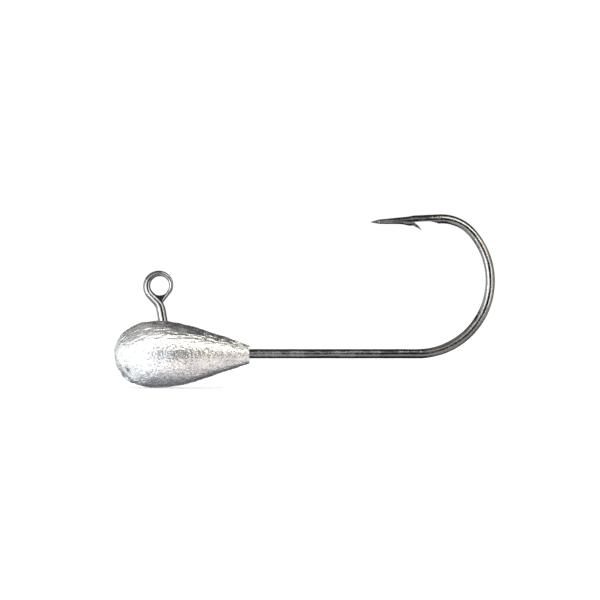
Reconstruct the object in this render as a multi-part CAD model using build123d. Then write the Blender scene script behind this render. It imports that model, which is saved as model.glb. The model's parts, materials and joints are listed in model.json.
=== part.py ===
from build123d import *
import os
from math import cos, radians, sin, tan

os.makedirs("parts", exist_ok=True)

# A bare lead jig head: a teardrop sinker cast round the front of a jig hook.
# The frame's origin is the centre of the line eye's hole. +X runs from the lead's nose to the
# hook's bend, +Z is up, where the eye and the point are, and Y is the axis of the eye's hole.
# The hook lies in the XZ plane, and headings there are degrees from +X towards +Z.

# Hook: one length of round wire
WIRE_R = 0.55
SHANK_Z = -7.93             # height of the shank's axis below the eye
LEG_FOOT_X = 1.02           # where the leg's axis would cross the shank's
LEG_HEADING = 99.6          # the leg leans towards the nose as it rises
BURIED_BEND_R = 2.0         # the bend from the shank up to the leg, inside the lead
NECK_R = 2.0                # the bend from the leg into the ring

# Line eye: the wire tapers all the way round the ring to its end, which closes on the leg
EYE_HOLE_R = 1.12
EYE_LAND_DEPTH = 0.03       # the ring is pressed on a mandrel, which leaves a narrow round land
RING_START = 226.0          # angles round the eye's centre where the wire joins and leaves the ring
RING_END = -36.0
END_R = 0.17
END_LENGTH = 1.18           # straight stretch between the ring and the wire's end

# How many pieces the taper is lofted in along the neck, the ring and the end
NECK_STEPS = 4
RING_STEPS = 16
END_STEPS = 3

# Bend and front
BEND_START_X = 30.02
BEND_R = 8.49
BEND_TURN = 131.7
CROWN_R = 4.7
CROWN_TURN = 50.9
FRONT_LENGTH = 8.05         # straight stretch from the crown to the tip

# Point, measured back from its tip along the front
POINT_LENGTH = 4.0          # length of the whole taper
GRIND_LENGTH = 1.1          # steeper ground end of the taper
GRIND_R = 0.26
TIP_R = 0.03

# Barb, raised from the underside of the front: distance back from the tip, depth under the axis
BARB_WIDTH = 0.5
BARB_TIP = (5.78, 1.13)
BARB_HEEL = (4.65, 0.62)    # where the sliver lifts off the wire
BARB_SWELL = (3.85, 0.62)   # front of the swelling under the sliver's root
BARB_NOTCH = (5.2, 0.25)    # where the cut behind the sliver ends
BARB_ROOT = (3.7, 0.2)      # inside the wire
BARB_CUT_FLAT_END = 7.4     # the cut's floor runs level to here and then out of the wire
BARB_CUT_END = 8.0

# Lead: a body of revolution about the shank's axis
NOSE_X = -5.33
NOSE_LENGTH = 4.75          # elliptical nose, from its end to the widest section
HEAD_R = 3.88
HEAD_DROP = 0.08            # the casting's axis lies a little under the shank's
SHOULDER_R = 16.0           # arc from the widest section to the straight tail
TAIL_ANGLE = 18.8           # slope of the straight tail
REAR_X = 10.46

FRONT_HEADING = BEND_TURN + CROWN_TURN
PAST_WIRE = 3 * WIRE_R      # a cut this long or wide goes clear of the wire


def towards(heading):
    """Unit vector in the XZ plane at a heading in degrees."""
    return Vector(cos(radians(heading)), 0, sin(radians(heading)))


def wire_section(centre, heading, radius):
    """Round cross-section of the wire, square to its heading."""
    return Plane(centre, x_dir=(0, 1, 0), z_dir=towards(heading)) * Circle(radius)


def crossing(point_a, heading_a, point_b, heading_b):
    """Where two straight lines in the XZ plane cross."""
    a, b = towards(heading_a), towards(heading_b)
    gap = point_b - point_a
    reach = (gap.X * b.Z - gap.Z * b.X) / (a.X * b.Z - a.Z * b.X)
    return point_a + a * reach


def ring_radius(share):
    """Radius of the tapering wire at a share of its length from the neck to its end."""
    return WIRE_R + (END_R - WIRE_R) * share


def eye_layout():
    """Key points and lengths of the tapered eye, from the top of the leg to the wire's end."""
    ring_turn = RING_START - RING_END
    neck_turn = RING_START - 90 - LEG_HEADING
    coil_r = EYE_HOLE_R - EYE_LAND_DEPTH + (WIRE_R + END_R) / 2
    ring_length = radians(ring_turn) * coil_r
    neck_length = radians(neck_turn) * NECK_R
    # The slanted stretch and the wire's taper depend on each other, and settle in three passes
    slant_length = 0.0
    for _ in range(3):
        total = neck_length + slant_length + ring_length + END_LENGTH
        share = (neck_length + slant_length) / total
        joins = towards(RING_START) * (EYE_HOLE_R - EYE_LAND_DEPTH + ring_radius(share))
        foot = Vector(LEG_FOOT_X, 0, SHANK_Z)
        corner = crossing(foot, LEG_HEADING, joins, RING_START - 90)
        tangent = NECK_R * tan(radians(neck_turn / 2))
        slant_length = (joins - corner).length - tangent
    leg_top = corner - towards(LEG_HEADING) * tangent
    return leg_top, neck_length, slant_length, ring_length, total


def eye_sections():
    """Cross-sections of the wire from the top of the leg, round the ring, to its end."""
    leg_top, neck_length, slant_length, ring_length, total = eye_layout()
    sections = []
    # Neck: an arc that turns further towards the nose
    arc_centre = leg_top + towards(LEG_HEADING + 90) * NECK_R
    for step in range(NECK_STEPS + 1):
        run = neck_length * step / NECK_STEPS
        heading = LEG_HEADING + (RING_START - 90 - LEG_HEADING) * step / NECK_STEPS
        centre = arc_centre - towards(heading + 90) * NECK_R
        sections.append(wire_section(centre, heading, ring_radius(run / total)))
    # Ring: the inner side of the wire stays on the circle of the hole
    for step in range(RING_STEPS + 1):
        run = neck_length + slant_length + ring_length * step / RING_STEPS
        angle = RING_START + (RING_END - RING_START) * step / RING_STEPS
        radius = ring_radius(run / total)
        centre = towards(angle) * (EYE_HOLE_R - EYE_LAND_DEPTH + radius)
        sections.append(wire_section(centre, angle - 90, radius))
    # End: straight on to the leg
    last = towards(RING_END) * (EYE_HOLE_R - EYE_LAND_DEPTH + ring_radius(run / total))
    for step in range(1, END_STEPS + 1):
        reach = END_LENGTH * step / END_STEPS
        centre = last + towards(RING_END - 90) * reach
        sections.append(wire_section(centre, RING_END - 90, ring_radius((run + reach) / total)))
    return sections


def line_eye():
    """The tapered ring with its neck, and the round land that the mandrel leaves inside it."""
    mandrel = Plane.XZ * Cylinder(EYE_HOLE_R, PAST_WIRE)
    return loft(eye_sections()) - mandrel


def straight_wire():
    """Leg, buried bend, shank, bend, crown and front, all of one diameter."""
    leg_top = eye_layout()[0]
    foot = Vector(LEG_FOOT_X, 0, SHANK_Z)
    bend_start = Vector(BEND_START_X, 0, SHANK_Z)
    lower = FilletPolyline(leg_top, foot, bend_start, radius=BURIED_BEND_R)
    bend_centre = bend_start + Vector(0, 0, BEND_R)
    bend_end = bend_centre + towards(BEND_TURN - 90) * BEND_R
    bend_middle = bend_centre + towards(BEND_TURN / 2 - 90) * BEND_R
    crown_centre = bend_end - towards(BEND_TURN - 90) * CROWN_R
    crown_end = crown_centre + towards(FRONT_HEADING - 90) * CROWN_R
    crown_middle = crown_centre + towards(BEND_TURN + CROWN_TURN / 2 - 90) * CROWN_R
    front_end = crown_end + towards(FRONT_HEADING) * (FRONT_LENGTH - POINT_LENGTH)
    path = Wire(
        lower.edges()
        + [
            ThreePointArc(bend_start, bend_middle, bend_end).edge(),
            ThreePointArc(bend_end, crown_middle, crown_end).edge(),
            Line(crown_end, front_end).edge(),
        ]
    )
    start = wire_section(leg_top, LEG_HEADING, WIRE_R)
    return sweep(start, path), crown_end + towards(FRONT_HEADING) * FRONT_LENGTH


def point(tip):
    """Long taper with a steeper ground end."""
    forward = towards(FRONT_HEADING)
    sections = [
        wire_section(tip - forward * POINT_LENGTH, FRONT_HEADING, WIRE_R),
        wire_section(tip - forward * GRIND_LENGTH, FRONT_HEADING, GRIND_R),
        wire_section(tip, FRONT_HEADING, TIP_R),
    ]
    return loft(sections, ruled=True)


def under_front(tip, corners, width):
    """A prism across the front, from corners given as distance back from the tip and depth."""
    back, down = towards(FRONT_HEADING + 180), towards(FRONT_HEADING + 90)
    outline = Polyline([tip + back * run + down * depth for run, depth in corners], close=True)
    return extrude(make_face(outline), width / 2, dir=(0, 1, 0), both=True)


def hook():
    """The whole hook: one piece of wire from the eye to the point."""
    wire, tip = straight_wire()
    cut = under_front(
        tip,
        [BARB_NOTCH, (BARB_CUT_FLAT_END, BARB_NOTCH[1]), (BARB_CUT_END, WIRE_R),
         (BARB_CUT_END, PAST_WIRE), (BARB_NOTCH[0], PAST_WIRE)],
        PAST_WIRE,
    )
    barb = under_front(tip, [BARB_ROOT, BARB_SWELL, BARB_HEEL, BARB_TIP, BARB_NOTCH], BARB_WIDTH)
    return (wire + point(tip) - cut + barb + line_eye()).solid()


def lead_head(wire):
    """The lead, cast round the wire: elliptical nose, arc shoulder, straight tail, flat rear."""
    axis_z = SHANK_Z - HEAD_DROP
    widest_x = NOSE_X + NOSE_LENGTH
    widest = Vector(widest_x, axis_z + HEAD_R)
    tail_tilt = radians(TAIL_ANGLE)
    shoulder_end = widest + Vector(sin(tail_tilt), cos(tail_tilt) - 1) * SHOULDER_R
    rear_top = Vector(REAR_X, shoulder_end.Y - tan(tail_tilt) * (REAR_X - shoulder_end.X))
    nose = EllipticalCenterArc((widest_x, axis_z), NOSE_LENGTH, HEAD_R, 90, arc_size=90)
    shoulder = RadiusArc(widest, shoulder_end, SHOULDER_R)
    straight_sides = Polyline(shoulder_end, rear_top, (REAR_X, axis_z), (NOSE_X, axis_z))
    profile = Plane.XZ * make_face(nose + shoulder + straight_sides)
    return (revolve(profile, Axis((0, 0, axis_z), (1, 0, 0))) - wire).solid()


hook_solid = hook()
export_step(hook_solid, "parts/hook.step")
export_step(lead_head(hook_solid), "parts/lead_head.step")
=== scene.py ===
import json
from math import atan2, cos, exp, pi, radians, sin, tan

import bmesh
import bpy
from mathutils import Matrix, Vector, kdtree, noise


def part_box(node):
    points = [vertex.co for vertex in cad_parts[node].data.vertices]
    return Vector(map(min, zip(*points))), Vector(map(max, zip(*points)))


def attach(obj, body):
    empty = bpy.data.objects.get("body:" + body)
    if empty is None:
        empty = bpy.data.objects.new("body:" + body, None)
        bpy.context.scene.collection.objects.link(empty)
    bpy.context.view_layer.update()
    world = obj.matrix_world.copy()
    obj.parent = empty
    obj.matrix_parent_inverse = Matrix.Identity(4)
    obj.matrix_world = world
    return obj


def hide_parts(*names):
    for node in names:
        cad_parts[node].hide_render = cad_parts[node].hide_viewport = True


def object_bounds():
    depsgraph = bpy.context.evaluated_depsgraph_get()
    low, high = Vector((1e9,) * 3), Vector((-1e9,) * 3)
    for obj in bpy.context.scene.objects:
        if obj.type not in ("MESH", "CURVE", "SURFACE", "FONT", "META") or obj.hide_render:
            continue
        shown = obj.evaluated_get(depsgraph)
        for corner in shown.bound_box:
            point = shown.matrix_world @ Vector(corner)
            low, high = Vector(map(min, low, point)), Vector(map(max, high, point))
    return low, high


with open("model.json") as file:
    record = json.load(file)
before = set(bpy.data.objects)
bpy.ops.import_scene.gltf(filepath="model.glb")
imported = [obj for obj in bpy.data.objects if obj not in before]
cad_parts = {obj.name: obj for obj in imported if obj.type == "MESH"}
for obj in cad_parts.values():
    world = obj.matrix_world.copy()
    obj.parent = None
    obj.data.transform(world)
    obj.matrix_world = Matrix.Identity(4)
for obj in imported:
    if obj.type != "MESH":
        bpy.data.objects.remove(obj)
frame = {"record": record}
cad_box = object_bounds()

# The looks of a bare lead jig head: a teardrop of cast lead round the front of a black nickel hook.
# Everything is in metres in the row frame: +X runs from the nose to the bend, +Z is up, and the
# centre of the line eye's hole is the origin. Headings are degrees from +X towards +Z.

MM = 0.001

# ---------------------------------------------------------------- the frame
mounts = {mount["name"]: mount for mount in frame["record"]["mounts"]}
hook_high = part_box("hook")[1]
lead_low, lead_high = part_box("lead_head")
object_length = cad_box[1].x - cad_box[0].x
object_middle = (cad_box[0] + cad_box[1]) / 2

EYE_CENTRE = Vector(mounts["line_eye"]["pos_m"])
EYE_HOLE_R = mounts["line_eye"]["dims"]["r_mm"] * MM
WIRE_R = mounts["bait_shank"]["dims"]["r_mm"] * MM
SHANK_Z = mounts["bait_shank"]["pos_m"][2]
REAR_X = mounts["bait_seat"]["pos_m"][0]

# ---------------------------------------------------------------- hook: the wire's path
LEG_FOOT_X = 1.02 * MM          # where the leg's axis would cross the shank's
LEG_HEADING = 99.6
BURIED_BEND_R = 2.0 * MM
NECK_R = 2.0 * MM
EYE_LAND_DEPTH = 0.03 * MM      # the ring is pressed on a mandrel, which leaves a narrow round land
RING_START = 226.0              # angles round the eye's centre where the wire joins and leaves it
RING_END = -36.0
END_R = 0.17 * MM
END_LENGTH = 1.18 * MM
BEND_R = 8.49 * MM
BEND_TURN = 131.7
CROWN_R = 4.7 * MM
CROWN_TURN = 50.9
FRONT_LENGTH = 8.05 * MM
FRONT_HEADING = BEND_TURN + CROWN_TURN

# Waviness of drawn wire, and how the wire's thickness changes round the bend and crown
RIPPLE_HEIGHT = 0.011 * MM
RIPPLE_LENGTH = 1.4 * MM
DIMPLE_HEIGHT = 0.004 * MM
DIMPLE_LENGTH = 0.6 * MM
THICK_SHARE = 0.05
THICK_HEADING = 45.0
THIN_SHARE = 0.055
THIN_HEADING = 140.0
THICKNESS_TURN = 35.0           # how far the wire turns over each change of thickness

# Point and barb, as distance back from the tip and depth under the front's axis
POINT_LENGTH = 5.2 * MM
GRIND_LENGTH = 1.05 * MM
GRIND_R = 0.27 * MM
WAIST_LENGTH = 4.0 * MM         # the taper steepens again from here back to the full wire
WAIST_R = 0.43 * MM
TIP_R = 0.03 * MM
GRIND_CURVE = 0.85              # below 1, the ground end is slightly convex
FACET_FLATNESS = 0.8
FACET_FADE = 0.75 * GRIND_LENGTH    # the ground facets fade out from here to the grind's end
SWELL_BACK = 4.45 * MM
SWELL_HEIGHT = 0.17 * MM
SWELL_SPREAD = 0.6 * MM
CUT_START = 4.95 * MM
CUT_STEEP_RUN = 0.2 * MM
CUT_DEPTH = 0.22 * MM
CUT_FLAT_END = 6.6 * MM
CUT_END = 8.8 * MM
BARB_ROOT = Vector((4.35 * MM, 0.18 * MM))
BARB_ELBOW = Vector((5.1 * MM, 0.42 * MM))
BARB_TIP = Vector((5.86 * MM, 1.18 * MM))
BARB_WIDTH = 0.5 * MM
BARB_THICKNESS = 0.38 * MM
BARB_END_WIDTH = 0.04 * MM
BARB_END_THICKNESS = 0.03 * MM
BARB_WIDTH_CURVE = 7            # the sliver keeps its width nearly to its tip, then narrows fast
BARB_THICKNESS_CURVE = 4
BARB_BOX_CURVE = 0.35           # the smaller it is, the flatter the sliver's sides
SIDE_GRIND_R = 0.35 * MM        # the point is a little wider across the hook's plane than in it
SIDE_TAPER_END = 6.6 * MM

# The wire's end is pressed to a wedge, and a thin web fills the corner under the hole, painted near
# black as the shade in the gap there
WEDGE_REACH = 0.26 * MM
WEDGE_CURVE = 3
WEB_THICKNESS = 0.16 * MM
WEB_HOLE_GAP = 0.01 * MM
WEB_ARC_STEPS = 24
WEB_TOLERANCE = 0.002 * MM

WIRE_SIDES = 36
BARB_SIDES = 24
BARB_STEPS = 18
WIRE_STEP = 0.07 * MM
POINT_STEP = 0.035 * MM
SHARP_ANGLE = 38.0

# ---------------------------------------------------------------- lead: the casting's profile
HEAD_R = (lead_high.y - lead_low.y) / 2
HEAD_Z = (lead_low.z + lead_high.z) / 2
NOSE_X = lead_low.x
NOSE_LENGTH = 4.75 * MM
SHOULDER_R = 16.0 * MM
TAIL_ANGLE = 18.8
REAR_EDGE_R = 0.08 * MM

HEAD_SIDES = 340
HEAD_STEP = 0.07 * MM
NOSE_ARC_PER_LENGTH = 1.5       # the nose's outline is about this much longer than the nose
REAR_EDGE_STEPS = 6

# ---------------------------------------------------------------- lead: the casting's relief, in mm
# Each layer is the height of a noise and the size of its features
LUMPS = (0.03, 3.1)
HAMMERING = (0.03, 0.95)
BROAD_CREASES = (0.07, 0.52)
FINE_CREASES = (0.05, 0.36)
GRAIN = (0.008, 0.17)
CREASE_REACH = 0.3              # share of the noise's range over which a crease rises
CREASE_HOLLOW = 0.07            # share of the noise's range that is the bottom of a crease
# Strength of the painted shade at the bottom of each crease
CREASE_SHADE_STRENGTH = 0.7
WRINKLE_HEIGHT = 0.085
WRINKLE_LENGTH = 0.95
WRINKLE_WIDTH = 0.3
WRINKLE_RISE = 0.15             # how fast the wrinkles climb towards the tail
WRINKLE_LEAN = 0.6
TOP_START, TOP_FULL = 0.35, 0.6     # how far up the surface faces where the wrinkles begin
FLASH_HEIGHT = 0.05
FLASH_WIDTH = 0.09
FLASH_WANDER = 0.03
CREEP_HEIGHT = 0.12             # lead that crept up the leg before it set
CREEP_REACH = 0.14
REAR_RELIEF = 0.4               # height of the rear face's relief, over that of the sides

SPRUE = Vector((-3.9, 0.0, -10.9))      # where the casting was cut off its sprue
SPRUE_HEIGHT = 0.13
SPRUE_R = 0.75
SPRUE_EDGE_R = 1.05
PIT = Vector((-3.67, -2.37, -9.77))     # a small casting pit in the nose
PIT_R = 0.24
PIT_DEPTH = 0.06
# Strength of the painted shade in the pit
PIT_SHADE_STRENGTH = 1.6
# Dents, each a place, a radius and a depth
DENTS = [
    (Vector((2.3, -3.6, -6.9)), 0.4, 0.02),
    (Vector((5.2, -2.4, -9.3)), 0.35, 0.025),
    (Vector((-1.5, 3.1, -5.8)), 0.45, 0.03),
    (Vector((4.1, 2.6, -9.6)), 0.4, 0.03),
    (Vector((7.4, 1.4, -6.9)), 0.3, 0.02),
]


def towards(heading):
    """Unit vector in the XZ plane at a heading in degrees."""
    return Vector((cos(radians(heading)), 0, sin(radians(heading))))


def crossing(point_a, heading_a, point_b, heading_b):
    """Where two straight lines in the XZ plane cross."""
    a, b = towards(heading_a), towards(heading_b)
    gap = point_b - point_a
    return point_a + a * (gap.x * b.z - gap.z * b.x) / (a.x * b.z - a.z * b.x)


def ease(low, high, value):
    """Smooth step from 0 at low to 1 at high."""
    share = min(max((value - low) / (high - low), 0.0), 1.0)
    return share * share * (3 - 2 * share)


def hump(value, middle, spread):
    """Smooth hill, 1 at the middle and about a third at one spread from it."""
    return exp(-(((value - middle) / spread) ** 2))


def walk(start, heading, stretches, step):
    """Centres and headings along stretches of wire, each a length and a turn in degrees."""
    places = [(start.copy(), heading)]
    for length, turn in stretches:
        count = max(2, round(length / step))
        piece = length / count
        bend = turn / count
        # Each short piece of an arc is walked along its chord
        chord = piece if turn == 0 else 2 * piece / radians(bend) * sin(radians(bend) / 2)
        for _ in range(count):
            place, heading = places[-1]
            places.append((place + towards(heading + bend / 2) * chord, heading + bend))
    return places


def taper(share):
    """Radius of the wire at a share of its way from the neck round the eye to its end."""
    return WIRE_R + (END_R - WIRE_R) * share


def eye_layout():
    """Where the leg meets the neck, and the lengths of the neck, slant and ring."""
    neck_turn = RING_START - 90 - LEG_HEADING
    coil_r = EYE_HOLE_R - EYE_LAND_DEPTH + (WIRE_R + END_R) / 2
    ring_length = radians(RING_START - RING_END) * coil_r
    neck_length = radians(neck_turn) * NECK_R
    foot = Vector((LEG_FOOT_X, 0, SHANK_Z))
    slant_length = 0.0
    # The slanted stretch and the wire's taper depend on each other, and settle in three passes
    for _ in range(3):
        total = neck_length + slant_length + ring_length + END_LENGTH
        joins_r = taper((neck_length + slant_length) / total)
        joins = EYE_CENTRE + towards(RING_START) * (EYE_HOLE_R - EYE_LAND_DEPTH + joins_r)
        corner = crossing(foot, LEG_HEADING, joins, RING_START - 90)
        tangent = NECK_R * tan(radians(neck_turn / 2))
        slant_length = (joins - corner).length - tangent
    return corner - towards(LEG_HEADING) * tangent, neck_length, slant_length, ring_length


def eye_rings():
    """Centre, heading and radius of the wire from its end, round the eye, to the top of the leg."""
    leg_top, neck_length, slant_length, ring_length = eye_layout()
    total = neck_length + slant_length + ring_length + END_LENGTH
    neck_turn = RING_START - 90 - LEG_HEADING
    rings = []
    run = 0.0
    neck = walk(leg_top, LEG_HEADING, [(neck_length, neck_turn), (slant_length, 0)], WIRE_STEP)
    for index, (centre, heading) in enumerate(neck):
        if index:
            run += (centre - neck[index - 1][0]).length
        rings.append((centre, heading, taper(run / total)))
    start = run
    steps = round(ring_length / WIRE_STEP)
    for step in range(1, steps + 1):
        run = start + ring_length * step / steps
        angle = RING_START + (RING_END - RING_START) * step / steps
        radius = taper(run / total)
        centre = EYE_CENTRE + towards(angle) * (EYE_HOLE_R - EYE_LAND_DEPTH + radius)
        rings.append((centre, angle - 90, radius))
    start = run
    steps = round(END_LENGTH / WIRE_STEP)
    last = rings[-1][0]
    heading = RING_END - 90
    for step in range(1, steps + 1):
        reach = END_LENGTH * step / steps
        rings.append((last + towards(heading) * reach, heading, taper((start + reach) / total)))
    # The same wire, walked the other way
    return [(centre, heading + 180, radius) for centre, heading, radius in reversed(rings)]


def front_radius(back):
    """Radius of the wire at a distance back from the tip."""
    if back < GRIND_LENGTH:
        return TIP_R + (GRIND_R - TIP_R) * (back / GRIND_LENGTH) ** GRIND_CURVE
    share = min((back - GRIND_LENGTH) / (WAIST_LENGTH - GRIND_LENGTH), 1.0)
    waist = GRIND_R + (WAIST_R - GRIND_R) * share
    return waist + (WIRE_R - WAIST_R) * ease(WAIST_LENGTH, POINT_LENGTH, back)


def side_radius(back):
    """Half the front's width across the hook's plane at a distance back from the tip."""
    if back < GRIND_LENGTH:
        return TIP_R + (SIDE_GRIND_R - TIP_R) * (back / GRIND_LENGTH) ** GRIND_CURVE
    share = (back - GRIND_LENGTH) / (SIDE_TAPER_END - GRIND_LENGTH)
    return SIDE_GRIND_R + (WIRE_R - SIDE_GRIND_R) * min(share, 1.0)


def wire_rings():
    """Centre, heading and radius of the whole wire, from its end at the eye to the tip."""
    rings = eye_rings()
    leg_top = rings[-1][0]
    leg_down = LEG_HEADING - 180
    foot = Vector((LEG_FOOT_X, 0, SHANK_Z))
    tangent = BURIED_BEND_R * tan(radians(-leg_down / 2))
    bend_start_x = hook_high.x - WIRE_R - BEND_R
    stretches = [
        ((foot - leg_top).length - tangent, 0),
        (BURIED_BEND_R * radians(-leg_down), -leg_down),
        (bend_start_x - foot.x - tangent, 0),
        (BEND_R * radians(BEND_TURN), BEND_TURN),
        (CROWN_R * radians(CROWN_TURN), CROWN_TURN),
        (FRONT_LENGTH - POINT_LENGTH, 0),
    ]
    main = walk(leg_top, leg_down, stretches, WIRE_STEP)
    rings += [(centre, heading, WIRE_R) for centre, heading in main[1:]]
    start, heading = main[-1]
    steps = round(POINT_LENGTH / POINT_STEP)
    for step in range(1, steps + 1):
        reach = POINT_LENGTH * step / steps
        centre = start + towards(heading) * reach
        rings.append((centre, heading, front_radius(POINT_LENGTH - reach)))
    return rings


def bend_swelling(heading):
    """The wire's thickness over its usual one: more where the bend starts, less round the crown."""
    if heading < 1 or heading > FRONT_HEADING - 1:
        return 1.0
    thicker = THICK_SHARE * hump(heading, THICK_HEADING, THICKNESS_TURN)
    thinner = THIN_SHARE * hump(heading, THIN_HEADING, THICKNESS_TURN)
    return 1 + thicker - thinner


def waviness(run, across, deep):
    """How far drawn wire stands off a true cylinder, from its run and its place round the wire."""
    ripple = noise.noise(Vector((run / RIPPLE_LENGTH, across * 1.1, deep * 1.1)))
    dimple = noise.noise(Vector((run / DIMPLE_LENGTH, across * 2.5 + 7, deep * 2.5)))
    return RIPPLE_HEIGHT * ripple + DIMPLE_HEIGHT * dimple


def wire_section(centre, heading, radius, run, back):
    """One ring of points round the wire, with its waviness, its swelling and the barb's cut."""
    inward = towards(heading + 90)
    thick = radius * bend_swelling(heading)
    side = side_radius(back) if back < POINT_LENGTH else min(radius, side_radius(back))
    flatness = FACET_FLATNESS * (1 - ease(FACET_FADE, GRIND_LENGTH, back))
    ring = []
    for step in range(WIRE_SIDES):
        angle = 2 * pi * step / WIRE_SIDES
        across, deep = cos(angle), sin(angle)
        lift = waviness(run, across, deep) * min(1, radius / WIRE_R) ** 2
        # The ground end has two flat facets above and two below
        facet = 1 / (abs(across) + abs(deep))
        across += (across * facet - across) * flatness
        deep += (deep * facet - deep) * flatness
        reach = (thick + lift) * deep
        wide = (side + lift) * across
        if deep > 0:
            reach += SWELL_HEIGHT * hump(back, SWELL_BACK, SWELL_SPREAD) * deep
            reach = min(reach, barb_cut(back))
        place = centre + inward * reach + Vector((0, wide, 0))
        if run < END_LENGTH and deep < 0:
            place += towards(heading) * WEDGE_REACH * deep * (1 - run / END_LENGTH) ** WEDGE_CURVE
        ring.append(place)
    return ring


def barb_cut(back):
    """How far the underside of the front reaches where the barb was cut out of it."""
    if back < CUT_START or back > CUT_END:
        return 2 * WIRE_R
    dip = ease(CUT_START, CUT_START + CUT_STEEP_RUN, back)
    rise = ease(CUT_FLAT_END, CUT_END, back)
    proud = WIRE_R + SWELL_HEIGHT
    return proud + (CUT_DEPTH - proud) * dip * (1 - rise)


def tube(rings, first_pole, last_pole):
    """Vertices and faces of a closed tube through rings of points, with a point at each end."""
    vertices = [point for ring in rings for point in ring]
    sides = len(rings[0])
    faces = []
    for row in range(len(rings) - 1):
        for side in range(sides):
            after = (side + 1) % sides
            low, high = row * sides, (row + 1) * sides
            faces.append((low + side, low + after, high + after, high + side))
    first, last = len(vertices), len(vertices) + 1
    vertices += [first_pole, last_pole]
    top = (len(rings) - 1) * sides
    for side in range(sides):
        after = (side + 1) % sides
        faces.append((first, after, side))
        faces.append((last, top + side, top + after))
    return vertices, faces


def mesh_object(name, vertices, faces):
    """A smooth-shaded mesh object in the scene."""
    mesh = bpy.data.meshes.new(name)
    mesh.from_pydata([tuple(v) for v in vertices], [], faces)
    mesh.validate()
    mesh.shade_smooth()
    piece = bpy.data.objects.new(name, mesh)
    bpy.context.scene.collection.objects.link(piece)
    return piece


def barb_sliver(tip):
    """The raised sliver: flat above and at the sides, round below, narrowing to its own tip."""
    back, down = towards(FRONT_HEADING + 180), towards(FRONT_HEADING + 90)
    rings = []
    for step in range(BARB_STEPS + 1):
        share = step / BARB_STEPS
        rest = 1 - share
        spine = BARB_ROOT * rest * rest + BARB_ELBOW * 2 * rest * share + BARB_TIP * share * share
        along = (BARB_ELBOW - BARB_ROOT) * rest + (BARB_TIP - BARB_ELBOW) * share
        along.normalize()
        under = Vector((-along.y, along.x))
        width = BARB_WIDTH / 2 * (1 - share ** BARB_WIDTH_CURVE) + BARB_END_WIDTH / 2
        thick = BARB_THICKNESS / 2 * (1 - share ** BARB_THICKNESS_CURVE) + BARB_END_THICKNESS / 2
        ring = []
        for side in range(BARB_SIDES):
            angle = 2 * pi * side / BARB_SIDES
            across, deep = cos(angle), sin(angle)
            # Rounded box: flat above, with flat sides
            wide = width * abs(across) ** BARB_BOX_CURVE * (1 if across > 0 else -1)
            depth = thick * (deep if deep > 0 else -(abs(deep) ** 0.5))
            place = spine + under * depth
            ring.append(tip + back * place.x + down * place.y + Vector((0, wide, 0)))
        rings.append(ring)
    first = sum(rings[0], Vector()) / BARB_SIDES
    last = sum(rings[-1], Vector()) / BARB_SIDES
    return tube(rings, first, last)


def corner_web(rings):
    """The flat web in the corner between the hole, the neck and the wire's end, a dark sheet that
    stands in for the shade in the gap there.
    """
    end_centre, end_heading, _ = rings[0]
    joins = EYE_CENTRE + towards(RING_START) * (EYE_HOLE_R - EYE_LAND_DEPTH + WIRE_R)
    corner = crossing(end_centre, end_heading, joins, RING_START - 90)
    sweep = 360 + RING_END - RING_START
    outline = []
    for step in range(WEB_ARC_STEPS + 1):
        spoke = towards(RING_START + sweep * step / WEB_ARC_STEPS)
        outline.append(EYE_CENTRE + spoke * (EYE_HOLE_R + WEB_HOLE_GAP))
    outline += [end_centre, corner]
    count = len(outline)
    half = Vector((0, WEB_THICKNESS / 2, 0))
    vertices = [place - half for place in outline] + [place + half for place in outline]
    faces = [tuple(range(count)), tuple(reversed(range(count, 2 * count)))]
    for index in range(count):
        after = (index + 1) % count
        faces.append((index, after, count + after, count + index))
    return vertices, faces


def outward(piece):
    """Turns every face of a closed mesh outwards."""
    shape = bmesh.new()
    shape.from_mesh(piece.data)
    bmesh.ops.recalc_face_normals(shape, faces=shape.faces)
    shape.to_mesh(piece.data)
    shape.free()


def merge(piece, other):
    """Joins a second closed mesh to the first as one closed mesh, and removes the second."""
    modifier = piece.modifiers.new("union", "BOOLEAN")
    modifier.operation = "UNION"
    modifier.object = other
    modifier.solver = "EXACT"
    shapes = bpy.context.evaluated_depsgraph_get()
    result = bpy.data.meshes.new_from_object(piece.evaluated_get(shapes))
    piece.modifiers.remove(modifier)
    piece.data = result
    bpy.data.objects.remove(other)


def hook_piece():
    """The hook and where its tip is: one wire from the eye to the point, with its barb and web."""
    rings = wire_rings()
    runs = [0.0]
    for before, after in zip(rings, rings[1:]):
        runs.append(runs[-1] + (after[0] - before[0]).length)
    length = runs[-1]
    tip = rings[-1][0]
    sections = []
    for (centre, heading, radius), run in zip(rings, runs):
        sections.append(wire_section(centre, heading, radius, run, length - run))
    end_pole = sum(sections[0], Vector()) / WIRE_SIDES
    tip_pole = tip + towards(FRONT_HEADING) * TIP_R
    piece = mesh_object("hook_wire", *tube(sections, end_pole, tip_pole))
    outward(piece)
    for name, shape in (("sliver", barb_sliver(tip)), ("web", corner_web(rings))):
        other = mesh_object(name, *shape)
        outward(other)
        merge(piece, other)
    piece.data.name = "hook_wire"
    piece.data.shade_smooth()
    piece.data.set_sharp_from_angle(angle=radians(SHARP_ANGLE))
    store_wire_place(piece, rings, runs)
    store_web_shade(piece)
    return piece, tip


def store_wire_place(piece, rings, runs):
    """Stores where each vertex is on the wire: its run in mm, then its place across the wire."""
    tree = kdtree.KDTree(len(rings))
    for index, (centre, _, _) in enumerate(rings):
        tree.insert(centre, index)
    tree.balance()
    place = piece.data.attributes.new("wire_place", "FLOAT_VECTOR", "POINT")
    for vertex in piece.data.vertices:
        _, index, _ = tree.find(vertex.co)
        centre, heading, _ = rings[index]
        offset = vertex.co - centre
        across = Vector((offset.y, offset.dot(towards(heading + 90))))
        if across.length > 0:
            across.normalize()
        place.data[vertex.index].vector = (runs[index] / MM, across.x, across.y)


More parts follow.
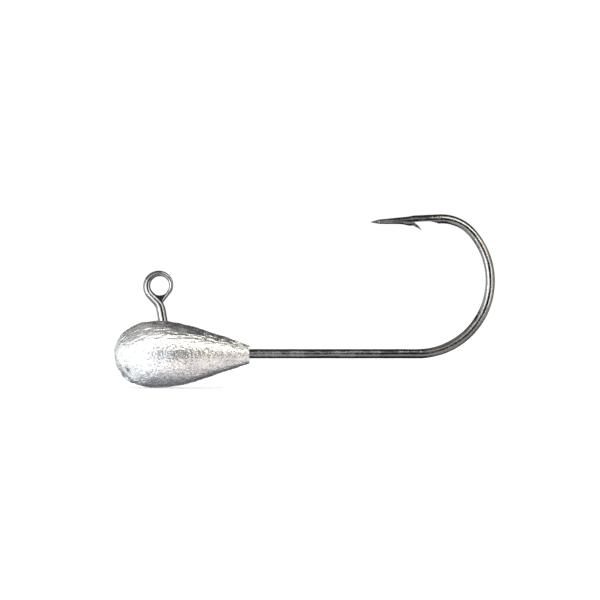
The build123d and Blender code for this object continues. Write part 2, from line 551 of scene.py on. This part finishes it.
def store_web_shade(piece):
    """Marks the web under the hole, which is rougher and painted near black as shade."""
    web_shade = piece.data.attributes.new("web_shade", "FLOAT", "POINT")
    for vertex in piece.data.vertices:
        off = vertex.co - EYE_CENTRE
        flat = abs(abs(off.y) - WEB_THICKNESS / 2) < WEB_TOLERANCE
        web_shade.data[vertex.index].value = 1.0 if flat and off.z < 0 else 0.0


# ---------------------------------------------------------------- lead head
def meridian():
    """Points (x, radius) of the casting's outline from the nose's end to the middle of the rear."""
    widest_x = NOSE_X + NOSE_LENGTH
    tilt = radians(TAIL_ANGLE)
    shoulder_x = widest_x + SHOULDER_R * sin(tilt)
    shoulder_r = HEAD_R - SHOULDER_R * (1 - cos(tilt))
    rear_r = shoulder_r - tan(tilt) * (REAR_X - shoulder_x)
    outline = []
    count = round(NOSE_ARC_PER_LENGTH * NOSE_LENGTH / HEAD_STEP)
    for step in range(count):
        angle = pi / 2 * step / count
        outline.append((widest_x - NOSE_LENGTH * cos(angle), HEAD_R * sin(angle)))
    count = round(SHOULDER_R * tilt / HEAD_STEP)
    for step in range(count):
        angle = tilt * step / count
        x = widest_x + SHOULDER_R * sin(angle)
        outline.append((x, HEAD_R - SHOULDER_R * (1 - cos(angle))))
    # The rear's edge is slightly rounded
    edge_turn = pi / 2 - tilt
    edge_run = REAR_EDGE_R * tan(edge_turn / 2)
    tail_end_x = REAR_X - edge_run * cos(tilt)
    tail_end_r = rear_r + edge_run * sin(tilt)
    count = round((tail_end_x - shoulder_x) / cos(tilt) / HEAD_STEP)
    for step in range(count):
        share = step / count
        x = shoulder_x + (tail_end_x - shoulder_x) * share
        outline.append((x, shoulder_r + (tail_end_r - shoulder_r) * share))
    edge_x = REAR_X - REAR_EDGE_R
    edge_r = rear_r - edge_run
    for step in range(REAR_EDGE_STEPS + 1):
        angle = tilt + edge_turn * (step / REAR_EDGE_STEPS)
        outline.append((edge_x + REAR_EDGE_R * sin(angle), edge_r + REAR_EDGE_R * cos(angle)))
    count = round(edge_r / HEAD_STEP)
    for step in range(1, count):
        outline.append((REAR_X, edge_r * (1 - step / count)))
    return outline[1:]


def layer(spot, kind, shift=(0, 0, 0)):
    """Height of one layer of relief at a spot in mm."""
    height, size = kind
    return height * noise.noise(spot / size + Vector(shift))


def creases(spot, kind, shift):
    """Height of the creases between the puckers, where a noise changes sign, and the painted shade
    at their bottoms.
    """
    height, size = kind
    depth = abs(noise.noise(spot / size + Vector(shift)))
    painted_shade = max(0.0, 1 - depth / CREASE_HOLLOW) * CREASE_SHADE_STRENGTH
    return height * (min(depth, CREASE_REACH) - CREASE_REACH / 2), painted_shade


def wrinkles(spot):
    """Wrinkles that run along the top, where the lead chilled first."""
    round_way = atan2(spot.z - HEAD_Z / MM, -spot.y) * HEAD_R / MM
    along = (spot.x - WRINKLE_LEAN * round_way) / WRINKLE_LENGTH
    over = (round_way - WRINKLE_RISE * spot.x) / WRINKLE_WIDTH
    return WRINKLE_HEIGHT * noise.noise(Vector((along, over, 0)))


def flash(spot):
    """The ragged line where the two halves of the mould met, in the hook's plane."""
    ragged = 0.5 + 0.5 * noise.noise(Vector((spot.x / 1.3, spot.z / 1.3, 3)))
    middle = FLASH_WANDER * noise.noise(spot / 0.7)
    return FLASH_HEIGHT * ragged * hump(spot.y, middle, FLASH_WIDTH)


def cast_relief(spot, facing, leg_axis):
    """How far the casting stands off its plain profile at a spot, in mm, and how much painted shade
    its creases get.
    """
    broad, broad_shade = creases(spot, BROAD_CREASES, (0, 9, 0))
    fine, fine_shade = creases(spot, FINE_CREASES, (4, 0, 2))
    top = ease(TOP_START, TOP_FULL, facing.z)
    relief = layer(spot, LUMPS) + layer(spot, HAMMERING, (5, 0, 0)) + layer(spot, GRAIN)
    relief += (broad + fine) * (1 - 0.5 * top) + wrinkles(spot) * top + flash(spot)
    off_leg = spot - leg_axis[0] / MM
    off_leg -= leg_axis[1] * off_leg.dot(leg_axis[1])
    if facing.z > 0.3:
        relief += CREEP_HEIGHT * exp(-max(off_leg.length - WIRE_R / MM, 0) / CREEP_REACH)
    return relief, min(broad_shade + fine_shade, 1.0)


def scars(spot):
    """Height of the sprue's cut stub, the pit and the dents, in mm, and how much painted shade the
    pit gets.
    """
    stub = 1 - ease(SPRUE_R, SPRUE_EDGE_R, (spot - SPRUE).length)
    # The stub's cut face is uneven
    relief = SPRUE_HEIGHT * stub * (0.8 + 0.3 * noise.noise(spot / 0.3))
    for centre, radius, depth in DENTS:
        relief -= depth * hump((spot - centre).length, 0, radius)
    pit = hump((spot - PIT).length, 0, PIT_R)
    return relief - PIT_DEPTH * pit, min(1.0, PIT_SHADE_STRENGTH * pit)


def lead_piece(leg_axis):
    """The casting: a body of revolution along the shank, with the relief of chilled lead."""
    outline = meridian()
    rings = []
    painted_shades = []
    for index, (x, radius) in enumerate(outline):
        before = outline[max(index - 1, 0)]
        after = outline[min(index + 1, len(outline) - 1)]
        slope = Vector((after[0] - before[0], after[1] - before[1])).normalized()
        ring = []
        for side in range(HEAD_SIDES):
            angle = 2 * pi * side / HEAD_SIDES
            spoke = Vector((0, cos(angle), sin(angle)))
            place = Vector((x, 0, HEAD_Z)) + spoke * radius
            facing = Vector((-slope.y, 0, 0)) + spoke * slope.x
            relief, painted_shade = cast_relief(place / MM, facing, leg_axis)
            scar, shade_share = scars(place / MM)
            if x > REAR_X - 0.001 * MM:
                relief *= REAR_RELIEF
            ring.append(place + facing * (relief + scar) * MM)
            painted_shades.append(min(painted_shade + shade_share, 1.0))
        rings.append(ring)
    nose_pole = Vector((NOSE_X, 0, HEAD_Z))
    rear_pole = Vector((REAR_X, 0, HEAD_Z))
    piece = mesh_object("lead_casting", *tube(rings, nose_pole, rear_pole))
    outward(piece)
    # Painted shade for the creases and the pit, which the material darkens the lead by
    painted_shade = piece.data.attributes.new("painted_shade", "FLOAT", "POINT")
    painted_shade.data.foreach_set("value", painted_shades + [0.0, 0.0])
    return piece


# ---------------------------------------------------------------- materials
# Tones are places in a noise's range, each with its colour
LEAD_TONES = [
    (0.3, (0.64, 0.65, 0.67)),
    (0.5, (0.76, 0.755, 0.75)),
    (0.72, (0.82, 0.805, 0.78)),
]
LEAD_FLECKS = [(0.34, (0.35, 0.35, 0.37)), (0.44, (1.0, 1.0, 1.0)), (0.75, (1.0, 1.0, 1.0))]
LEAD_ROUGHNESS = (0.24, 0.12)       # in the flecks, and on the skin between them
# Painted shade in the creases and the pit: near black over the lead's colour
CREASE_SHADE_COLOUR = (0.09, 0.088, 0.095)
CREASE_SHADE_COVER = 0.85                 # how much of the lead's colour the painted shade hides
CREASE_ROUGHNESS = 0.3              # on top of the lead's

NICKEL_TONES = [
    (0.35, (0.145, 0.145, 0.147)),
    (0.55, (0.168, 0.165, 0.163)),
    (0.72, (0.195, 0.18, 0.168)),
]
NICKEL_ROUGHNESS = (0.07, 0.16)     # between the specks, and in them
STREAK_SCALE = (0.35, 7.0, 7.0)     # per mm along the wire, and per radius round it
PEBBLY_FROM, PEBBLY_FULL = 0.48, 0.6
STEEL_COLOUR = (0.20, 0.207, 0.22)
STEEL_END = (0.85, 1.1)             # distance from the tip, in mm, where steel gives way to plating
# Painted shade on the web under the eye's hole
WEB_SHADE_COLOUR = (0.02, 0.02, 0.022)
WORKED_ROUGHNESS = 0.25             # on top of the plating's, on the steel and on the web under the hole

PAPER_TONES = [(0.3, (0.94, 0.94, 0.94)), (0.7, (0.955, 0.955, 0.955))]


def material(name):
    """A new node material with its Principled shader."""
    made = bpy.data.materials.new(name)
    made.use_nodes = True
    return made, made.node_tree.nodes, made.node_tree.links, made.node_tree.nodes["Principled BSDF"]


def noise_node(nodes, links, source, scale, detail, roughness=0.5, kind="FBM"):
    """A noise texture over a vector, as its node."""
    node = nodes.new("ShaderNodeTexNoise")
    node.noise_type = kind
    node.inputs["Scale"].default_value = scale
    node.inputs["Detail"].default_value = detail
    node.inputs["Roughness"].default_value = roughness
    links.new(source, node.inputs["Vector"])
    return node


def ramp_node(nodes, links, source, stops):
    """A colour ramp with stops of (place, colour)."""
    node = nodes.new("ShaderNodeValToRGB")
    ramp = node.color_ramp
    ramp.elements[0].position = stops[0][0]
    ramp.elements[0].color = (*stops[0][1], 1)
    ramp.elements[1].position = stops[-1][0]
    ramp.elements[1].color = (*stops[-1][1], 1)
    for place, colour in stops[1:-1]:
        ramp.elements.new(place).color = (*colour, 1)
    links.new(source, node.inputs["Fac"])
    return node


def range_node(nodes, links, source, low, high, to_low, to_high):
    """Maps a value from one range to another."""
    node = nodes.new("ShaderNodeMapRange")
    for name, value in zip(
        ("From Min", "From Max", "To Min", "To Max"), (low, high, to_low, to_high)
    ):
        node.inputs[name].default_value = value
    links.new(source, node.inputs["Value"])
    return node


def attribute_node(nodes, name):
    """Reads a value that the piece's vertices carry."""
    node = nodes.new("ShaderNodeAttribute")
    node.attribute_name = name
    return node


def math_node(nodes, links, operation, first, second):
    """Adds or multiplies two values."""
    node = nodes.new("ShaderNodeMath")
    node.operation = operation
    links.new(first, node.inputs[0])
    links.new(second, node.inputs[1])
    return node


def mix_node(nodes, links, factor, first, second, blend="MIX"):
    """Mixes two colours by a factor, where plain values may stand for sockets."""
    node = nodes.new("ShaderNodeMix")
    node.data_type = "RGBA"
    node.blend_type = blend
    if isinstance(factor, float):
        node.inputs["Factor"].default_value = factor
    else:
        links.new(factor, node.inputs["Factor"])
    for socket, value in ((node.inputs["A"], first), (node.inputs["B"], second)):
        if isinstance(value, tuple):
            socket.default_value = (*value, 1)
        else:
            links.new(value, socket)
    return node


def bump_node(nodes, links, height, strength, distance, before=None):
    """A bump from a height, on top of an earlier bump if there is one."""
    node = nodes.new("ShaderNodeBump")
    node.inputs["Strength"].default_value = strength
    node.inputs["Distance"].default_value = distance
    links.new(height, node.inputs["Height"])
    if before:
        links.new(before.outputs["Normal"], node.inputs["Normal"])
    return node


def millimetres(nodes, links):
    """Object coordinates in millimetres, so that a noise's scale is its count per millimetre."""
    coordinates = nodes.new("ShaderNodeTexCoord")
    scale = nodes.new("ShaderNodeVectorMath")
    scale.operation = "SCALE"
    scale.inputs["Scale"].default_value = 1 / MM
    links.new(coordinates.outputs["Object"], scale.inputs[0])
    return scale.outputs["Vector"]


def lead_material():
    """Bare cast lead: a bright skin with grain, crinkles and grey patches, with painted shade in the
    creases and the pit.
    """
    made, nodes, links, shader = material("bare_cast_lead")
    place = millimetres(nodes, links)
    patches = noise_node(nodes, links, place, scale=0.45, detail=4, roughness=0.6)
    speckle = noise_node(nodes, links, place, scale=4.5, detail=5, roughness=0.65)
    grain = noise_node(nodes, links, place, scale=6.5, detail=4, roughness=0.6)
    crinkle = noise_node(
        nodes, links, place, scale=3.0, detail=3, roughness=0.6, kind="RIDGED_MULTIFRACTAL"
    )
    painted_shade = attribute_node(nodes, "painted_shade")
    skin = ramp_node(nodes, links, patches.outputs["Fac"], LEAD_TONES)
    flecks = ramp_node(nodes, links, speckle.outputs["Fac"], LEAD_FLECKS)
    whole = mix_node(nodes, links, 1.0, skin.outputs["Color"], flecks.outputs["Color"], "MULTIPLY")
    # Painted shade darkens the creases and the pit
    shade_share = range_node(nodes, links, painted_shade.outputs["Fac"], 0.0, 1.0, 0.0, CREASE_SHADE_COVER)
    shaded_colour = mix_node(nodes, links, shade_share.outputs["Result"], whole.outputs["Result"], CREASE_SHADE_COLOUR)
    links.new(shaded_colour.outputs["Result"], shader.inputs["Base Color"])
    shader.inputs["Metallic"].default_value = 1.0
    rough = range_node(nodes, links, speckle.outputs["Fac"], 0.3, 0.7, *LEAD_ROUGHNESS)
    dull = range_node(nodes, links, painted_shade.outputs["Fac"], 0.0, 1.0, 0.0, CREASE_ROUGHNESS)
    both = math_node(nodes, links, "ADD", rough.outputs["Result"], dull.outputs["Result"])
    links.new(both.outputs["Value"], shader.inputs["Roughness"])
    first = bump_node(nodes, links, crinkle.outputs["Fac"], strength=0.8, distance=0.03 * MM)
    second = bump_node(nodes, links, grain.outputs["Fac"], 1.0, 0.04 * MM, before=first)
    links.new(second.outputs["Normal"], shader.inputs["Normal"])
    return made


def nickel_material(tip):
    """Black nickel plate on drawn wire, bare steel on the ground point, and painted shade on the web
    in the corner at the eye.
    """
    made, nodes, links, shader = material("black_nickel_wire")
    place = millimetres(nodes, links)
    along = attribute_node(nodes, "wire_place")
    stretch = nodes.new("ShaderNodeVectorMath")
    stretch.operation = "MULTIPLY"
    stretch.inputs[1].default_value = STREAK_SCALE
    links.new(along.outputs["Vector"], stretch.inputs[0])
    streaks = noise_node(nodes, links, stretch.outputs["Vector"], scale=1.0, detail=4, roughness=0.6)
    patches = noise_node(nodes, links, place, scale=0.55, detail=3, roughness=0.55)
    specks = noise_node(nodes, links, place, scale=6.0, detail=3, roughness=0.6)
    plating = ramp_node(nodes, links, patches.outputs["Fac"], NICKEL_TONES)
    # Distance back from the tip, in millimetres, for the ground steel
    from_tip = nodes.new("ShaderNodeVectorMath")
    from_tip.operation = "DISTANCE"
    from_tip.inputs[1].default_value = tip / MM
    links.new(place, from_tip.inputs[0])
    ground = range_node(nodes, links, from_tip.outputs["Value"], *STEEL_END, 1.0, 0.0)
    metal = mix_node(
        nodes, links, ground.outputs["Result"], plating.outputs["Color"], STEEL_COLOUR
    )
    # Painted shade: the web under the hole is coloured near black
    web_shade = attribute_node(nodes, "web_shade")
    whole = mix_node(nodes, links, web_shade.outputs["Fac"], metal.outputs["Result"], WEB_SHADE_COLOUR)
    links.new(whole.outputs["Result"], shader.inputs["Base Color"])
    shader.inputs["Metallic"].default_value = 1.0
    rough = range_node(nodes, links, specks.outputs["Fac"], 0.3, 0.7, *NICKEL_ROUGHNESS)
    worked = math_node(nodes, links, "ADD", ground.outputs["Result"], web_shade.outputs["Fac"])
    duller = range_node(nodes, links, worked.outputs["Value"], 0.0, 1.0, 0.0, WORKED_ROUGHNESS)
    both = math_node(nodes, links, "ADD", rough.outputs["Result"], duller.outputs["Result"])
    links.new(both.outputs["Value"], shader.inputs["Roughness"])
    # The plating is pebbly in patches
    pebbly = range_node(
        nodes, links, patches.outputs["Fac"], PEBBLY_FROM, PEBBLY_FULL, 0.3, 1.0
    )
    pebbles = math_node(
        nodes, links, "MULTIPLY", specks.outputs["Fac"], pebbly.outputs["Result"]
    )
    first = bump_node(nodes, links, streaks.outputs["Fac"], strength=0.35, distance=0.01 * MM)
    second = bump_node(nodes, links, pebbles.outputs["Value"], 0.8, 0.035 * MM, before=first)
    links.new(second.outputs["Normal"], shader.inputs["Normal"])
    return made


def floor_material():
    """Plain pale paper."""
    made, nodes, links, shader = material("pale_paper")
    place = millimetres(nodes, links)
    fibres = noise_node(nodes, links, place, scale=0.05, detail=3)
    tone = ramp_node(nodes, links, fibres.outputs["Fac"], PAPER_TONES)
    links.new(tone.outputs["Color"], shader.inputs["Base Color"])
    shader.inputs["Roughness"].default_value = 0.9
    shader.inputs["Specular IOR Level"].default_value = 0.1
    return made


# ---------------------------------------------------------------- studio
PHOTO_WIDTH_PER_LENGTH = 1.575      # the picture's width over the object's length
LENS = 300.0
SENSOR = 36.0
AIM_LEFT = 0.0117                   # the aim's offsets from the object's middle, over its length
AIM_UP = 0.0026

CAMERA_WHITE = 1.03                 # the world's radiance to the camera, and to the floor
FLOOR_WHITE = 1.32
# The dim world that the metal mirrors, from straight down to straight up
MIRRORED_TONES = [
    (0.0, (0.09, 0.105, 0.13)),
    (0.45, (0.035, 0.035, 0.04)),
    (0.6, (0.04, 0.04, 0.04)),
    (1.0, (0.12, 0.125, 0.13)),
]
FLOOR_REACH = 2.0


def add_camera():
    """A long lens square to the hook's side."""
    data = bpy.data.cameras.new("camera")
    data.lens = LENS
    data.sensor_width = SENSOR
    camera = bpy.data.objects.new("camera", data)
    bpy.context.scene.collection.objects.link(camera)
    width = PHOTO_WIDTH_PER_LENGTH * object_length
    aim = object_middle + Vector((-AIM_LEFT * object_length, 0, AIM_UP * object_length))
    camera.location = aim + Vector((0, -width * LENS / SENSOR, 0))
    camera.rotation_euler = (pi / 2, 0, 0)
    data.clip_start = 0.01
    data.clip_end = 10
    bpy.context.scene.camera = camera


def softbox(name, centre, aim, width, height, radiance, colour):
    """A flat soft light that shows in reflections and not to the camera."""
    data = bpy.data.lights.new(name, "AREA")
    data.shape = "RECTANGLE"
    data.size = width
    data.size_y = height
    data.energy = radiance * pi * width * height
    data.color = colour
    light = bpy.data.objects.new(name, data)
    light.location = centre
    light.rotation_euler = (Vector(aim) - Vector(centre)).to_track_quat("-Z", "Y").to_euler()
    light.visible_camera = False
    bpy.context.scene.collection.objects.link(light)
    return light


COOL = (0.92, 0.965, 1.0)
WARM = (1.0, 0.95, 0.86)
PINK = (1.0, 0.92, 0.88)
PLAIN = (1.0, 1.0, 0.98)
NEAR = 0.15                 # how far the front panels stand in front of the head
WIRE_NEAR = NEAR + 2 * MM   # the wire's own panels stand clear of the others
EDGE = 1.0                  # the azimuth where the left panels meet the right ones

# Front panels, each as the azimuths and the elevations that it fills, seen from the middle of the
# head, with its radiance and colour
FRONT_PANELS = [
    ("left_core", (-63, -20), (-26, 26), 2.1, COOL),
    ("left_near", (-20, EDGE), (-26, 26), 2.15, COOL),
    ("left_lower", (-63, EDGE), (-62, -26), 2.0, COOL),
    ("right_lower_near", (EDGE, 8), (-57, -11), 1.1, PINK),
    ("right_lower_far", (8, 63), (-60, -20), 1.3, PINK),
    ("right_core", (41, 62), (-20, 33), 1.8, WARM),
]
# These would show too bright along the top of the wire
LEAD_FRONT_PANELS = [
    ("left_upper", (-63, EDGE), (26, 62), 2.2, COOL),
    ("right_upper_near", (EDGE, 8), (26, 62), 1.9, WARM),
    ("right_upper_far", (8, 63), (33, 62), 2.9, WARM),
]
# The dark wire gets more light than the lead does
WIRE_FRONT_PANELS = [
    ("left_core_wire", (-63, -20), (-26, 26), 7.0, COOL),
    ("upper_wire", (-63, 8), (16, 50), 1.2, PLAIN),
    ("right_upper_wire", (16, 63), (33, 62), 7.0, WARM),
    ("right_core_wire", (41, 62), (-20, 33), 4.2, WARM),
]

# Room panels as places from the middle of the head, the way they face, width, height and radiance
RIGHT, LEFT = (1, 0, 0), (-1, 0, 0)
DOWN, UP = (0, 0, -1), (0, 0, 1)
FORWARD = (0, -1, 0)
ROOM_PANELS = [
    ("left_side", (-0.30, 0.01, 0.0), RIGHT, 0.32, 0.36, 1.7, COOL),
    ("right_side", (0.32, -0.04, 0.02), LEFT, 0.22, 0.40, 1.5, WARM),
    ("over_left", (-0.18, 0.10, 0.29), DOWN, 0.32, 0.50, 0.55, WARM),
    ("over_right", (0.23, -0.09, 0.29), DOWN, 0.34, 0.12, 0.6, WARM),
    ("under_left", (-0.27, 0.09, -0.28), UP, 0.28, 0.38, 1.4, COOL),
    ("under_near", (-0.07, -0.085, -0.28), UP, 0.11, 0.13, 1.4, COOL),
    ("under_right", (0.24, -0.035, -0.28), UP, 0.32, 0.23, 1.0, PINK),
    ("back_left", (-0.24, 0.24, 0.0), (1, -1, 0), 0.20, 0.26, 0.85, PLAIN),
    ("back_right", (0.26, 0.22, 0.0), (-1, -1, 0), 0.20, 0.40, 0.5, PLAIN),
    ("back", (0.0, 0.35, 0.0), FORWARD, 0.30, 0.20, 1.8, PLAIN),
]
# Faint panels over and under the lead, which leave the wire's edges dark
LEAD_ROOM_PANELS = [
    ("over_middle", (0.02, -0.03, 0.29), DOWN, 0.08, 0.24, 0.4, PLAIN),
    ("under_middle", (-0.02, 0.10, -0.285), UP, 0.22, 0.38, 0.22, COOL),
]


def front_panel(name, azimuths, elevations, radiance, colour, plane=NEAR):
    """A panel square to the camera's axis, which fills angles seen from the middle of the head."""
    x0, x1 = (plane * tan(radians(angle)) for angle in azimuths)
    z0, z1 = (plane * tan(radians(angle)) for angle in elevations)
    centre = Vector(((x0 + x1) / 2, -plane, HEAD_Z + (z0 + z1) / 2))
    return softbox(name, centre, centre + Vector((0, 1, 0)), x1 - x0, z1 - z0, radiance, colour)


def room_panel(name, centre, facing, width, height, radiance, colour):
    """A panel off to one side, from the middle of the head."""
    centre = Vector(centre) + Vector((0, 0, HEAD_Z))
    return softbox(name, centre, centre + Vector(facing), width, height, radiance, colour)


def light_only(pieces, lights):
    """Lets lights fall on some pieces and nothing else."""
    lit = bpy.data.collections.new("lit_pieces")
    for piece in pieces:
        lit.objects.link(piece)
    for light in lights:
        light.light_linking.receiver_collection = lit


def add_lights(wire, casting):
    """Panels all round, cool to the left and warm to the right, which light the metal only."""
    light_only([wire, casting], [front_panel(*panel) for panel in FRONT_PANELS])
    light_only([wire, casting], [room_panel(*panel) for panel in ROOM_PANELS])
    light_only([casting], [front_panel(*panel) for panel in LEAD_FRONT_PANELS])
    light_only([casting], [room_panel(*panel) for panel in LEAD_ROOM_PANELS])
    light_only([wire], [front_panel(*panel, plane=WIRE_NEAR) for panel in WIRE_FRONT_PANELS])


def add_world():
    """White to the camera and to the floor; dim, bluer below, in the metal's reflections."""
    world = bpy.data.worlds.new("studio")
    bpy.context.scene.world = world
    world.use_nodes = True
    nodes, links = world.node_tree.nodes, world.node_tree.links
    nodes.clear()
    output = nodes.new("ShaderNodeOutputWorld")
    white = nodes.new("ShaderNodeBackground")
    white.inputs["Color"].default_value = (1, 1, 1, 1)
    dim = nodes.new("ShaderNodeBackground")
    coordinates = nodes.new("ShaderNodeTexCoord")
    split = nodes.new("ShaderNodeSeparateXYZ")
    links.new(coordinates.outputs["Generated"], split.inputs["Vector"])
    height = range_node(nodes, links, split.outputs["Z"], -1, 1, 0, 1)
    tone = ramp_node(nodes, links, height.outputs["Result"], MIRRORED_TONES)
    links.new(tone.outputs["Color"], dim.inputs["Color"])
    path = nodes.new("ShaderNodeLightPath")
    bright = range_node(
        nodes, links, path.outputs["Is Camera Ray"], 0, 1, FLOOR_WHITE, CAMERA_WHITE
    )
    links.new(bright.outputs["Result"], white.inputs["Strength"])
    mix = nodes.new("ShaderNodeMixShader")
    links.new(path.outputs["Is Glossy Ray"], mix.inputs["Fac"])
    links.new(white.outputs["Background"], mix.inputs[1])
    links.new(dim.outputs["Background"], mix.inputs[2])
    links.new(mix.outputs["Shader"], output.inputs["Surface"])


def add_floor():
    """A plain pale floor at the object's lowest point, which the metal doesn't mirror."""
    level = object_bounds()[0].z
    corners = [(-1, -1), (1, -1), (1, 1), (-1, 1)]
    vertices = [(x * FLOOR_REACH, y * FLOOR_REACH, level) for x, y in corners]
    floor = mesh_object("floor", vertices, [(0, 1, 2, 3)])
    floor.data.materials.append(floor_material())
    floor.visible_glossy = False
    floor.visible_shadow = False


hook, hook_tip = hook_piece()
leg = (Vector((LEG_FOOT_X, 0, SHANK_Z)), towards(LEG_HEADING))
lead = lead_piece(leg)

hook.data.materials.clear()
hook.data.materials.append(nickel_material(hook_tip))
lead.data.materials.append(lead_material())

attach(hook, "root")
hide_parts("hook")
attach(lead, "root")
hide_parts("lead_head")

add_floor()
add_world()
add_lights(hook, lead)
add_camera()
bpy.context.scene.view_settings.view_transform = "Standard"
